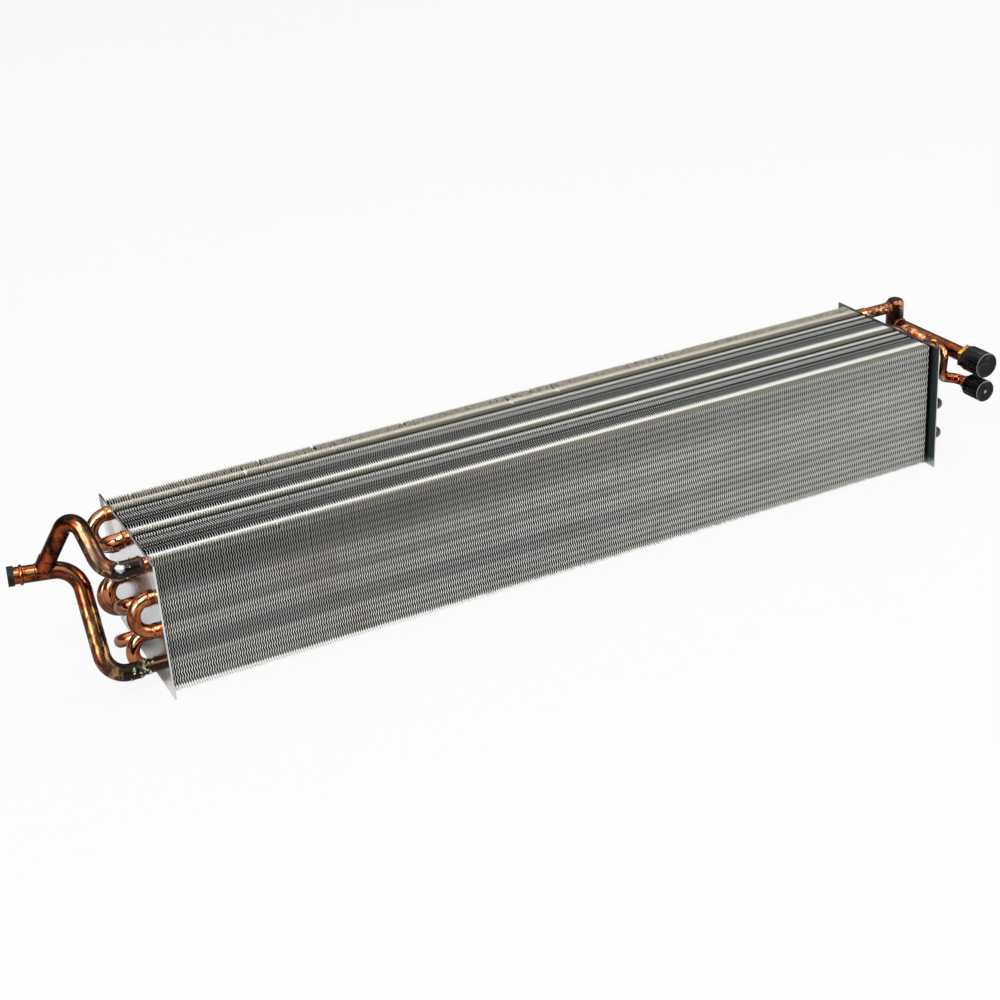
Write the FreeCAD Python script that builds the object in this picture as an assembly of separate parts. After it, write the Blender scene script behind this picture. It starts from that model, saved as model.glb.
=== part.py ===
"""Finned-tube evaporator coil: two end plates, a pack of thin fins, staggered copper tubes.

Millimetres, +Z up. The origin lies on the underside, midway between the outer faces of the
two end plates and midway along their depth. -Y is the front, -X carries the return bends and
the crossover fork, +X carries the suction header, the liquid run and the two fittings.
"""
import FreeCAD
import Part

import math
import os

# Tubes
tube_radius = 9.52 / 2  # three-eighths inch copper
tube_wall = 0.5
fit_clearance = 0.1  # radial play between a tube and what it passes through
seat_clearance = 0.1  # play along the axis at a tube's end stop

# Tube places: rows are counted from the front, levels from the bottom
tube_pitch = 25.4  # between levels
row_pitch = 22.0
low_row_height = 6.35  # lowest tube of the second and fourth row
high_row_height = 19.05  # lowest tube of the first, third and fifth row

hairpin_pairs = [
    ((0, 0), (1, 0)),
    ((0, 1), (1, 1)),
    ((0, 2), (1, 2)),
    ((0, 3), (1, 3)),
    ((2, 0), (2, 1)),
    ((2, 2), (2, 3)),
    ((3, 0), (4, 0)),
    ((3, 1), (4, 1)),
    ((3, 2), (4, 2)),
]
proud_hairpins = hairpin_pairs[:2]
return_pairs = [
    ((0, 1), (0, 2)),
    ((1, 0), (1, 1)),
    ((1, 2), (2, 1)),
    ((1, 3), (2, 2)),
    ((2, 0), (3, 0)),
    ((2, 3), (3, 3)),
    ((3, 1), (3, 2)),
    ((4, 0), (4, 1)),
    ((4, 2), (4, 3)),
]
suction_place = (4, 3)
liquid_place = (3, 3)
crossover_place = (0, 0)
branch_place = (0, 3)

# End plates
coil_length = 638.0  # between the plates' outer faces
plate_thickness = 1.3
plate_front_margin = 9.0  # bare plate in front of the fins
plate_back_margin = 10.0

# Fins
fin_gap_at_plate = 1.2  # least gap
fin_pitch = 25.4 / 14
fins_per_ridge = 2  # one ridge stands for this many sheets
ridge_thickness = 1.4
relief_front_back = 3.0  # how far the ridges stand out of the block
relief_top_bottom = 1.2

# Bells: the widened tube ends that take the next tube
bell_gap = 0.2  # from the plate's face to the bell
bell_length = 1.8
return_leg = 1.0  # from the plate's face to the start of a return bend
hairpin_leg = 2.5  # from the plate's face to the start of a hairpin's bend
proud_hairpin_leg = 9.2  # the two lowest hairpins at the front stand out further

# Crossover fork on the left, soldered over two tubes
fork_wall = 1.14
crossover_mouth = 15.5  # from the plate to the tube's open mouth
crossover_lap = 5.5
crossover_straight = 0.6  # between the lap and the first bend
crossover_back = 36.0
crossover_rise = 69.0
crossover_low_bend = 16.0
crossover_high_bend = 18.0
port_run = 40.6  # from the upper corner to the plugged end
port_back = 6.0
port_rise = 2.5
bead_radius = 7.1
bead_round = 1.3
bead_setback = 4.6  # from the plugged end to the bead's middle

tee_distance = 22.8  # from the upper corner to the branch's axis
tee_collar_height = 11.0  # from the crossover's axis to the collar's lip
tee_collar_wall = 0.5
tee_neck_start = 3.0  # from the crossover's axis to where the collar's neck begins
tee_foot_radius = 7.8
tee_foot_height = 8.0

branch_mouth = 3.0
branch_lap = 9.0
branch_straight = 2.8  # between the lap and the first bend
branch_apex_out = 8.2  # beyond the corner of the first bend
branch_apex_back = 28.0
branch_apex_rise = 39.2
branch_low_bend = 15.0
branch_apex_bend = 10.0

plug_radius = 6.9
plug_thickness = 4.2
plug_stem_length = 5.0
plug_groove_count = 16
plug_groove_radius = 0.35

# Suction side: tube, header, line, fitting and cap
suction_projection = 9.0  # of the tube past the right plate
suction_bell_length = 7.0
header_distance = 41.0  # from the right plate to the header's axis
header_radius = 7.3
header_wall = 0.9
header_above_stub = 7.0
header_below_line = 9.0
header_rounding = 4.5
suction_line_drop = 15.2  # from the stub's axis down to the line's axis
suction_line_radius = 6.0
suction_line_wall = 0.8
suction_line_lap = 4.0  # inside the fitting
suction_sleeve_radius = 6.9
suction_sleeve_length = 2.0
suction_hex_width = 17.6  # across the flats
suction_hex_length = 3.6
suction_spigot_radius = 7.0
suction_cap_radius = 10.2
suction_cap_length = 20.5

# Liquid side: elbow, strainer, thin tube, line, fitting and cap
liquid_projection = 6.3  # of the tube past the right plate
liquid_bell_length = 5.0
liquid_run_distance = 26.6  # from the right plate to the run's axis
liquid_climb = 3.9  # from the tube's axis up to the run's axis
liquid_climb_forward = 8.0
liquid_elbow_bend = 6.5
liquid_climb_bend = 6.0
liquid_elbow_straight = 0.8  # between the last bend and the strainer
strainer_back_neck = 3.0
strainer_shoulder = 1.0
strainer_body = 9.0
strainer_cone = 9.0
strainer_front_neck = 2.5
strainer_radius = 6.1
strainer_wall = 0.7
thin_tube_radius = 6.35 / 2
thin_tube_wall = 0.6
thin_tube_bend = 8.0
thin_tube_lean = 2.2  # towards the plate, on the way down
down_run_setback = 25.0  # behind the plates' front edge
liquid_line_radius = 4.2
liquid_line_lap = 1.2  # round the thin tube
liquid_low_bend = 4.4
liquid_fitting_bend = 6.0
liquid_corner_rise = 5.6  # of the line's low corner above the fitting's axis
liquid_corner_distance = 8.0  # from the fitting back to the line's last corner
liquid_fitting_drop = 22.0  # from the suction line's axis down to the liquid fitting's
liquid_sleeve_radius = 5.3
liquid_sleeve_length = 5.0
liquid_fitting_lap = 3.5
liquid_spigot_radius = 6.4
liquid_bore_radius = 3.2
liquid_cap_radius = 8.8
liquid_cap_length = 18.5
liquid_dimple_radius = 1.4
liquid_dimple_depth = 1.0

# Both caps
cap_front = 8.0  # the caps' end faces stand this far before the plates
cap_end_wall = 3.0
cap_end_play = 0.5  # between the spigot's end and the cap's end wall
cap_to_fitting = 0.8
cap_groove_count = 12
cap_groove_radius = 0.8
cap_groove_depth = 0.45
cap_chamfer = 0.8

# Worked out from the values above
place_pairs = hairpin_pairs + return_pairs
places = sorted({place for pair in place_pairs for place in pair})
row_count = 1 + max(row for row, level in places)
level_count = 1 + max(level for row, level in places)
fin_depth = row_count * row_pitch
fin_height = level_count * tube_pitch
plate_depth = plate_front_margin + fin_depth + plate_back_margin
left_face = -coil_length / 2
right_face = coil_length / 2
front_edge = -plate_depth / 2
fin_front = front_edge + plate_front_margin
hole_radius = tube_radius + fit_clearance
bell_radius = hole_radius + tube_wall
fork_bore = tube_radius + fit_clearance
fork_radius = fork_bore + fork_wall
to_front = FreeCAD.Vector(0, -1, 0)
to_back = FreeCAD.Vector(0, 1, 0)
to_top = FreeCAD.Vector(0, 0, 1)
to_left = FreeCAD.Vector(-1, 0, 0)
to_right = FreeCAD.Vector(1, 0, 0)


def tube_point(place, x):
    """The point at x on the axis of the tube at (row, level)."""
    row, level = place
    lowest = low_row_height if row % 2 else high_row_height
    return FreeCAD.Vector(x, fin_front + (row + 0.5) * row_pitch, lowest + level * tube_pitch)


# The two fittings and the line heights, which follow the tubes and the plates
stub_height = tube_point(suction_place, right_face).z
suction_line_height = stub_height - suction_line_drop
suction_line_bore = suction_line_radius - suction_line_wall
cap_face = front_edge - cap_front
suction_hex_front = cap_face + suction_cap_length + cap_to_fitting
suction_fitting_back = suction_hex_front + suction_hex_length + suction_sleeve_length
liquid_sleeve_front = cap_face + liquid_cap_length + cap_to_fitting


def rod(start, direction, length, radius):
    """A round bar."""
    return Part.makeCylinder(radius, length, start, direction)


def bent_path(points, bends):
    """Straight runs joined by tangent arcs, one arc at each inner point."""
    edges = []
    start = points[0]
    for before, corner, after, bend in zip(points, points[1:], points[2:], bends):
        back = (before - corner).normalize()
        ahead = (after - corner).normalize()
        half_turn = (math.pi - back.getAngle(ahead)) / 2
        inward = (back + ahead).normalize()
        arc_start = corner + back * (bend * math.tan(half_turn))
        arc_middle = corner + inward * (bend / math.cos(half_turn) - bend)
        arc_end = corner + ahead * (bend * math.tan(half_turn))
        edges.append(Part.makeLine(start, arc_start))
        edges.append(Part.Arc(arc_start, arc_middle, arc_end).toShape())
        start = arc_end
    edges.append(Part.makeLine(start, points[-1]))
    return Part.Wire(edges)


def u_path(first, second, turn_x):
    """From first along X to turn_x, round a half circle and back to second."""
    turn_start = FreeCAD.Vector(turn_x, first.y, first.z)
    turn_end = FreeCAD.Vector(turn_x, second.y, second.z)
    outward = to_right if turn_x > first.x else to_left
    turn_top = (turn_start + turn_end) / 2 + outward * ((turn_end - turn_start).Length / 2)
    edges = [
        Part.makeLine(first, turn_start),
        Part.Arc(turn_start, turn_top, turn_end).toShape(),
        Part.makeLine(turn_end, second),
    ]
    return Part.Wire(edges)


def swept(path, radius):
    """A round bar along a path."""
    start = path.Edges[0].firstVertex().Point
    direction = path.Edges[0].tangentAt(path.Edges[0].FirstParameter)
    section = Part.Wire(Part.makeCircle(radius, start, direction))
    return path.makePipeShell([section], True, False)


def swept_tube(path, radius, bore):
    """A tube along a path."""
    return swept(path, radius).cut(swept(path, bore))


def turned(start, direction, outline):
    """A solid turned about an axis, from (distance along it, radius) points."""
    along = FreeCAD.Vector(direction).normalize()
    aside = along.cross(to_top if abs(along.z) < 0.9 else to_right).normalize()
    corners = [start + along * distance + aside * radius for distance, radius in outline]
    face = Part.Face(Part.makePolygon(corners + [corners[0]]))
    return face.revolve(start, along, 360)


def end_plate(outer_face, inward):
    """A flat sheet with one hole per tube."""
    corner = FreeCAD.Vector(outer_face, front_edge, 0)
    outline = [
        corner,
        corner + FreeCAD.Vector(0, plate_depth, 0),
        corner + FreeCAD.Vector(0, plate_depth, fin_height),
        corner + FreeCAD.Vector(0, 0, fin_height),
        corner,
    ]
    sheet = Part.Face(Part.makePolygon(outline)).extrude(inward * plate_thickness)
    holes = [rod(tube_point(place, outer_face), inward, plate_thickness, hole_radius) for place in places]
    return sheet.cut(Part.makeCompound(holes))


def fin_pack():
    """A block with the ridged edges of the fins on four sides, bored for the tubes."""
    inner_gap = plate_thickness + fin_gap_at_plate
    ridge_pitch = fin_pitch * fins_per_ridge
    half_span = coil_length / 2 - inner_gap - ridge_thickness / 2
    ridges_each_side = int(half_span / ridge_pitch)
    half_length = ridges_each_side * ridge_pitch + ridge_thickness / 2
    core = Part.makeBox(
        2 * half_length,
        fin_depth - 2 * relief_front_back,
        fin_height - 2 * relief_top_bottom,
        FreeCAD.Vector(-half_length, fin_front + relief_front_back, relief_top_bottom),
    )
    ridges = []
    for step in range(-ridges_each_side, ridges_each_side + 1):
        corner = FreeCAD.Vector(step * ridge_pitch - ridge_thickness / 2, fin_front, 0)
        ridges.append(Part.makeBox(ridge_thickness, fin_depth, fin_height, corner))
    block = core.multiFuse(ridges)
    length = 2 * half_length
    bores = [rod(tube_point(place, -half_length), to_right, length, hole_radius) for place in places]
    return block.cut(Part.makeCompound(bores))


def bell(mouth, inward, length):
    """The widened end of a tube, as a ring to add and a socket to remove."""
    ring = rod(mouth, inward, length, bell_radius)
    socket = rod(mouth, inward, length - tube_wall, hole_radius)
    return ring, socket


def left_projection(place):
    """How far a tube stands out of the left plate."""
    if place == crossover_place:
        return crossover_mouth + crossover_lap
    if place == branch_place:
        return branch_mouth + branch_lap
    return bell_gap + bell_length


def hairpin(pair):
    """A long U: two legs through the pack, joined by a bend at the right."""
    ends = [tube_point(place, left_face - left_projection(place)) for place in pair]
    leg = proud_hairpin_leg if pair in proud_hairpins else hairpin_leg
    path = u_path(ends[0], ends[1], right_face + leg)
    outside = swept(path, tube_radius)
    inside = swept(path, tube_radius - tube_wall)
    for place, end in zip(pair, ends):
        if left_projection(place) == bell_gap + bell_length:
            ring, socket = bell(end, to_right, bell_length)
            outside = outside.fuse(ring)
            inside = inside.fuse(socket)
    return outside.cut(inside)


def pass_tube(place, projection, right_bell_length):
    """A single straight tube with a bell at each end."""
    left_end = tube_point(place, left_face - left_projection(place))
    right_end = tube_point(place, right_face + projection)
    length = right_end.x - left_end.x
    left_ring, left_socket = bell(left_end, to_right, bell_length)
    right_ring, right_socket = bell(right_end, to_left, right_bell_length)
    outside = rod(left_end, to_right, length, tube_radius).multiFuse([left_ring, right_ring])
    inside = rod(left_end, to_right, length, tube_radius - tube_wall)
    return outside.cut(inside.multiFuse([left_socket, right_socket]))


def return_bend(pair):
    """A half circle of tube whose two short legs seat in the bells."""
    seat = left_face - bell_gap - tube_wall - seat_clearance
    path = u_path(tube_point(pair[0], seat), tube_point(pair[1], seat), left_face - return_leg)
    return swept_tube(path, tube_radius, tube_radius - tube_wall)


def corner_setback(before, after, bend):
    """Distance from a corner to where its arc starts, between two directions of travel."""
    return bend * math.tan(before.getAngle(after) / 2)


def crossover_points():
    """The corners of the crossover tube, from its open mouth to its plugged end."""
    corner_reach = crossover_mouth + crossover_lap + crossover_straight + crossover_low_bend
    mouth = tube_point(crossover_place, left_face - crossover_mouth)
    low_corner = tube_point(crossover_place, left_face - corner_reach)
    high_corner = low_corner + FreeCAD.Vector(0, crossover_back, crossover_rise)
    port_end = high_corner + FreeCAD.Vector(-port_run, port_back, port_rise)
    return [mouth, low_corner, high_corner, port_end]


def port_direction():
    """Unit vector along the crossover's last run, towards the plugged end."""
    points = crossover_points()
    return (points[3] - points[2]).normalize()


def tee_point():
    """Where the branch's axis meets the crossover's axis."""
    return crossover_points()[2] + port_direction() * tee_distance


def branch_points():
    """The corners of the branch tube, from its open mouth to the tee."""
    climb = FreeCAD.Vector(-branch_apex_out, branch_apex_back, branch_apex_rise)
    setback = corner_setback(to_left, climb, branch_low_bend)
    corner_reach = branch_mouth + branch_lap + branch_straight + setback
    mouth = tube_point(branch_place, left_face - branch_mouth)
    low_corner = tube_point(branch_place, left_face - corner_reach)
    return [mouth, low_corner, low_corner + climb, tee_point()]


def crossover_bar(radius):
    """The crossover's full length as a round bar."""
    return swept(bent_path(crossover_points(), [crossover_low_bend, crossover_high_bend]), radius)


def tee_direction():
    """Unit vector along the branch's last run, away from the crossover."""
    points = branch_points()
    return (points[2] - points[3]).normalize()


def crossover_tube():
    """The lower tube of the fork, with its bead and the drawn collar for the branch."""
    outward = port_direction()
    bead_centre = crossover_points()[3] - outward * bead_setback
    bead_ring = Part.makeTorus(bead_radius - bead_round, bead_round, bead_centre, outward)
    tee, rise = tee_point(), tee_direction()
    collar_bore = fork_radius + fit_clearance
    collar_radius = collar_bore + tee_collar_wall
    foot = Part.makeCone(tee_foot_radius, collar_radius, tee_foot_height, tee, rise)
    saddle = foot.common(crossover_bar(fork_radius + tee_collar_wall))
    neck_start = tee + rise * tee_neck_start
    neck = rod(neck_start, rise, tee_collar_height - tee_neck_start, collar_radius)
    cavity = rod(tee, rise, tee_collar_height, collar_bore).cut(crossover_bar(fork_radius))
    outside = crossover_bar(fork_radius).multiFuse([bead_ring, saddle, neck])
    opening = rod(tee, rise, tee_collar_height, fork_bore)
    return outside.cut(crossover_bar(fork_bore)).cut(cavity).cut(opening)


def branch_tube():
    """The upper tube of the fork, whose end fits the crossover's round back."""
    path = bent_path(branch_points(), [branch_low_bend, branch_apex_bend])
    return swept_tube(path, fork_radius, fork_bore).cut(crossover_bar(fork_radius + seat_clearance))


def port_plug():
    """A grooved stopper in the crossover's free end."""
    end, outward = crossover_points()[3], port_direction()
    stem = rod(end - outward * plug_stem_length, outward, plug_stem_length, fork_bore - fit_clearance)
    plug = rod(end, outward, plug_thickness, plug_radius).fuse(stem)
    rim_grooves = grooves(
        end, outward, plug_thickness, plug_radius, plug_groove_radius, plug_groove_count
    )
    return plug.cut(rim_grooves)


def grooves(start, direction, length, rim, radius, count):
    """Round-bottomed grooves along a rim, evenly spaced, as solids to remove."""
    along = FreeCAD.Vector(direction).normalize()
    aside = along.cross(to_right).normalize()
    bars = []
    for step in range(count):
        turn = FreeCAD.Rotation(along, 360 * step / count)
        bars.append(rod(start + turn.multVec(aside) * rim, along, length, radius))
    return Part.makeCompound(bars)


def suction_tube():
    """The tube that leaves the pack for the suction header."""
    return pass_tube(suction_place, suction_projection, suction_bell_length)


def liquid_tube():
    """The tube that brings the liquid into the pack."""
    return pass_tube(liquid_place, liquid_projection, liquid_bell_length)


def header_axis(height):
    """The point on the suction header's axis at a height."""
    place = tube_point(suction_place, right_face + header_distance)
    return FreeCAD.Vector(place.x, place.y, height)


def header_bar(radius, bottom, top, rounding):
    """An upright round bar whose ends are rounded by a quarter circle."""
    length = top - bottom
    arc_middle = rounding * (1 - math.sqrt(0.5))
    start = header_axis(bottom)

    def corner(height, distance):
        return start + FreeCAD.Vector(distance, 0, height)

    edges = [
        Part.makeLine(corner(0, 0), corner(0, radius - rounding)),
        Part.Arc(
            corner(0, radius - rounding),
            corner(arc_middle, radius - arc_middle),
            corner(rounding, radius),
        ).toShape(),
        Part.makeLine(corner(rounding, radius), corner(length - rounding, radius)),
        Part.Arc(
            corner(length - rounding, radius),
            corner(length - arc_middle, radius - arc_middle),
            corner(length, radius - rounding),
        ).toShape(),
        Part.makeLine(corner(length, radius - rounding), corner(length, 0)),
        Part.makeLine(corner(length, 0), corner(0, 0)),
    ]
    return Part.Face(Part.Wire(edges)).revolve(start, to_top, 360)


def suction_header():
    """A closed upright tube with a side stub that seats in the suction tube's bell."""
    top = stub_height + header_above_stub
    bottom = suction_line_height - header_below_line
    socket_end = suction_projection - suction_bell_length + tube_wall
    stub_start = tube_point(suction_place, right_face + socket_end + seat_clearance)
    stub_length = header_axis(0).x - stub_start.x
    outside = header_bar(header_radius, bottom, top, header_rounding)
    outside = outside.fuse(rod(stub_start, to_right, stub_length, tube_radius))
    inside = header_bar(
        header_radius - header_wall,
        bottom + header_wall,
        top - header_wall,
        header_rounding - header_wall,
    )
    inside = inside.fuse(rod(stub_start, to_right, stub_length, tube_radius - tube_wall))
    opening = rod(header_axis(suction_line_height), to_front, header_radius, suction_line_bore)
    return outside.cut(inside).cut(opening)


def suction_line():
    """The straight line from the header forward into its fitting."""
    start = header_axis(suction_line_height)
    length = start.y - (suction_fitting_back - suction_line_lap)
    tube = rod(start, to_front, length, suction_line_radius)
    tube = tube.cut(rod(start, to_front, length, suction_line_bore))
    bottom = suction_line_height - header_below_line
    top = stub_height + header_above_stub
    return tube.cut(header_bar(header_radius + seat_clearance, bottom, top, header_rounding))


def suction_fitting():
    """Sleeve, hexagon and spigot in one turned piece."""
    axis = header_axis(suction_line_height)
    spigot_front = FreeCAD.Vector(axis.x, cap_face + cap_end_wall + cap_end_play, axis.z)
    hex_front = FreeCAD.Vector(axis.x, suction_hex_front, axis.z)
    body = rod(spigot_front, to_back, suction_hex_front - spigot_front.y, suction_spigot_radius)
    body = body.fuse(hexagon(hex_front, suction_hex_width, suction_hex_length))
    sleeve_front = hex_front + to_back * suction_hex_length
    body = body.fuse(rod(sleeve_front, to_back, suction_sleeve_length, suction_sleeve_radius))
    back = FreeCAD.Vector(axis.x, suction_fitting_back, axis.z)
    depth = suction_line_lap + seat_clearance
    socket = rod(back, to_front, depth, suction_line_radius + fit_clearance)
    bore = rod(spigot_front, to_back, back.y - spigot_front.y, suction_line_bore)
    return body.cut(socket).cut(bore)


def hexagon(front, width, length):
    """A six-sided bar along Y, with a corner at the top and at the bottom."""
    corner_radius = width / math.sqrt(3)
    corners = []
    for step in range(6):
        angle = math.radians(90 + 60 * step)
        offset = FreeCAD.Vector(math.cos(angle), 0, math.sin(angle))
        corners.append(front + offset * corner_radius)
    face = Part.Face(Part.makePolygon(corners + corners[:1]))
    return face.extrude(to_back * length)


def liquid_axis():
    """The x and z of the liquid fitting's axis."""
    return header_axis(0).x, suction_line_height - liquid_fitting_drop


def liquid_fitting():
    """Sleeve and spigot in one turned piece."""
    x, z = liquid_axis()
    spigot_front = FreeCAD.Vector(x, cap_face + cap_end_wall + cap_end_play, z)
    sleeve_front = FreeCAD.Vector(x, liquid_sleeve_front, z)
    body = rod(spigot_front, to_back, sleeve_front.y - spigot_front.y, liquid_spigot_radius)
    body = body.fuse(rod(sleeve_front, to_back, liquid_sleeve_length, liquid_sleeve_radius))
    back = sleeve_front + to_back * liquid_sleeve_length
    depth = liquid_fitting_lap + seat_clearance
    socket = rod(back, to_front, depth, liquid_line_radius + fit_clearance)
    bore = rod(spigot_front, to_back, back.y - spigot_front.y, liquid_bore_radius)
    return body.cut(socket).cut(bore)


def screw_cap(x, z, radius, length, bore):
    """A closed cap with grooves along its side, open towards the back."""
    start = FreeCAD.Vector(x, cap_face, z)
    outline = [
        (0, 0),
        (0, radius - cap_chamfer),
        (cap_chamfer, radius),
        (length - cap_chamfer, radius),
        (length, radius - cap_chamfer),
        (length, bore),
        (cap_end_wall, bore),
        (cap_end_wall, 0),
    ]
    rim = radius - cap_groove_depth + cap_groove_radius
    cap = turned(start, to_back, outline)
    return cap.cut(grooves(start, to_back, length, rim, cap_groove_radius, cap_groove_count))


def suction_cap():
    """The large cap."""
    x, z = header_axis(0).x, suction_line_height
    bore = suction_spigot_radius + fit_clearance
    return screw_cap(x, z, suction_cap_radius, suction_cap_length, bore)


def liquid_cap():
    """The small cap, with a dimple in its end."""
    x, z = liquid_axis()
    cap = screw_cap(x, z, liquid_cap_radius, liquid_cap_length, liquid_spigot_radius + fit_clearance)
    face = FreeCAD.Vector(x, cap_face, z)
    return cap.cut(rod(face, to_back, liquid_dimple_depth, liquid_dimple_radius))


def elbow_points():
    """The corners of the elbow between the liquid tube and the strainer."""
    socket_end = liquid_projection - liquid_bell_length + tube_wall
    start = tube_point(liquid_place, right_face + socket_end + seat_clearance)
    low_corner = tube_point(liquid_place, right_face + liquid_run_distance)
    climb = FreeCAD.Vector(0, -liquid_climb_forward, liquid_climb)
    high_corner = low_corner + climb
    setback = corner_setback(climb, to_front, liquid_climb_bend)
    lap = strainer_back_neck - seat_clearance
    end = high_corner + to_front * (setback + liquid_elbow_straight + lap)
    return [start, low_corner, high_corner, end]


def liquid_elbow():
    """The tube from the liquid tube's bell round to the strainer."""
    path = bent_path(elbow_points(), [liquid_elbow_bend, liquid_climb_bend])
    return swept_tube(path, tube_radius, tube_radius - tube_wall)


def strainer_start():
    """The back end of the strainer, on its axis."""
    return elbow_points()[3] + to_back * (strainer_back_neck - seat_clearance)


def strainer_full_length():
    """From the back neck's mouth to the front neck's mouth."""
    return strainer_back_neck + strainer_shoulder + strainer_body + strainer_cone + strainer_front_neck


def strainer():
    """A wide thin-walled tube with a neck at each end, coned towards the thin tube."""
    body_start = strainer_back_neck + strainer_shoulder
    body_end = body_start + strainer_body
    cone_end = body_end + strainer_cone
    length = strainer_full_length()
    thin_bore = thin_tube_radius + fit_clearance
    outline = [
        (0, hole_radius + strainer_wall),
        (strainer_back_neck, hole_radius + strainer_wall),
        (body_start, strainer_radius),
        (body_end, strainer_radius),
        (cone_end, thin_bore + strainer_wall),
        (length, thin_bore + strainer_wall),
        (length, thin_bore),
        (cone_end, thin_bore),
        (body_end, strainer_radius - strainer_wall),
        (body_start, strainer_radius - strainer_wall),
        (strainer_back_neck, hole_radius),
        (0, hole_radius),
    ]
    return turned(strainer_start(), to_front, outline)


def liquid_line_points():
    """The corners of the liquid line, from the thin tube down and round to the fitting."""
    x, z = liquid_axis()
    high_corner = thin_tube_corner()
    back = liquid_sleeve_front + liquid_sleeve_length
    low_corner = high_corner + FreeCAD.Vector(-thin_tube_lean, 0, 0)
    low_corner.z = z + liquid_corner_rise
    down = (low_corner - high_corner).normalize()
    last_corner = FreeCAD.Vector(x, back + liquid_corner_distance, z)
    end = FreeCAD.Vector(x, back - liquid_fitting_lap, z)
    setback = corner_setback(down, last_corner - low_corner, liquid_low_bend)
    mouth = low_corner - down * (setback + liquid_line_lap)
    return [mouth, low_corner, last_corner, end]


def thin_tube_corner():
    """The upper front corner of the thin tube."""
    start = strainer_start()
    return FreeCAD.Vector(start.x, front_edge + down_run_setback, start.z)


def thin_tube():
    """The narrow tube from the strainer forward and down into the liquid line."""
    overlap = strainer_front_neck - seat_clearance
    start = strainer_start() + to_front * (strainer_full_length() - overlap)
    corner = thin_tube_corner()
    mouth = liquid_line_points()[0]
    down = (mouth - corner).normalize()
    path = bent_path([start, corner, mouth + down * liquid_line_lap], [thin_tube_bend])
    return swept_tube(path, thin_tube_radius, thin_tube_radius - thin_tube_wall)


def liquid_line():
    """The tube from the thin tube's end round into the liquid fitting."""
    path = bent_path(liquid_line_points(), [liquid_low_bend, liquid_fitting_bend])
    return swept_tube(path, liquid_line_radius, thin_tube_radius + fit_clearance)


def all_nodes():
    """Every piece of the coil, by its node's name."""
    nodes = {
        "left_end_plate": end_plate(left_face, to_right),
        "right_end_plate": end_plate(right_face, to_left),
        "fin_pack": fin_pack(),
        "suction_tube": suction_tube(),
        "liquid_tube": liquid_tube(),
        "crossover_tube": crossover_tube(),
        "branch_tube": branch_tube(),
        "port_plug": port_plug(),
        "suction_header": suction_header(),
        "suction_line": suction_line(),
        "suction_fitting": suction_fitting(),
        "suction_cap": suction_cap(),
        "liquid_elbow": liquid_elbow(),
        "strainer": strainer(),
        "thin_tube": thin_tube(),
        "liquid_line": liquid_line(),
        "liquid_fitting": liquid_fitting(),
        "liquid_cap": liquid_cap(),
    }
    for number, pair in enumerate(hairpin_pairs, 1):
        nodes[f"hairpin_tube_{number}"] = hairpin(pair)
    for number, pair in enumerate(return_pairs, 1):
        nodes[f"return_bend_{number}"] = return_bend(pair)
    return nodes


os.makedirs("parts", exist_ok=True)
for name, shape in all_nodes().items():
    shape.exportStep(f"parts/{name}.step")
    print(name, shape.isValid(), len(shape.Solids), round(shape.Volume, 1))
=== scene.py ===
"""Looks of a finned-tube evaporator coil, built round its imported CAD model.

Metres, +Z up, in the frame of the CAD model: the coil lies along X, its front faces -Y, the
return bends and the crossover fork stand out at -X, and the header and fittings at +X.
"""

import logging
import math
import random
from abc import ABC, abstractmethod
from collections.abc import Iterable
from dataclasses import dataclass
from enum import Enum
from typing import TypeAlias

import bmesh
import bpy
from mathutils import Matrix, Vector, noise


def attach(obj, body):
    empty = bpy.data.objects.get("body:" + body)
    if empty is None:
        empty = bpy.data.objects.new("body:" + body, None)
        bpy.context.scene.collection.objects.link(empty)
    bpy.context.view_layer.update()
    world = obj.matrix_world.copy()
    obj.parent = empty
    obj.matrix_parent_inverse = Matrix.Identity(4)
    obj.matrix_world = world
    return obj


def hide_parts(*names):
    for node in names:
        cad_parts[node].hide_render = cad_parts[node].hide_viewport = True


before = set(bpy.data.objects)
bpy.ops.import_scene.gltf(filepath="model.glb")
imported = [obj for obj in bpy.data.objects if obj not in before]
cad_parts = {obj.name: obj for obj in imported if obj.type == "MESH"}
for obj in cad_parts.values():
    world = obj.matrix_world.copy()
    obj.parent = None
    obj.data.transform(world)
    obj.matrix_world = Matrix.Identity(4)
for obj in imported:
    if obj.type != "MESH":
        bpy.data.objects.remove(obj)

log = logging.getLogger("evaporator_coil")

MM = 0.001
BODY = "root"
NOISE_SEED = 2

Number: TypeAlias = "float | Value"
Colour: TypeAlias = tuple[float, float, float, float]
Point: TypeAlias = tuple[float, float, float]


def srgb(red: int, green: int, blue: int) -> Colour:
    """A colour as it looks on a screen, as the linear colour that shaders take.

    Args:
        red: its red, from 0 to 255.
        green: its green.
        blue: its blue.

    Returns:
        The linear colour, opaque.
    """
    def linear(level: int) -> float:
        """One channel made linear."""
        share = level / 255
        return share / 12.92 if share <= 0.04045 else ((share + 0.055) / 1.055) ** 2.4

    return linear(red), linear(green), linear(blue), 1.0


def metres(*lengths: float) -> Vector:
    """A point given in millimetres."""
    return Vector(lengths) * MM


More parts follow.
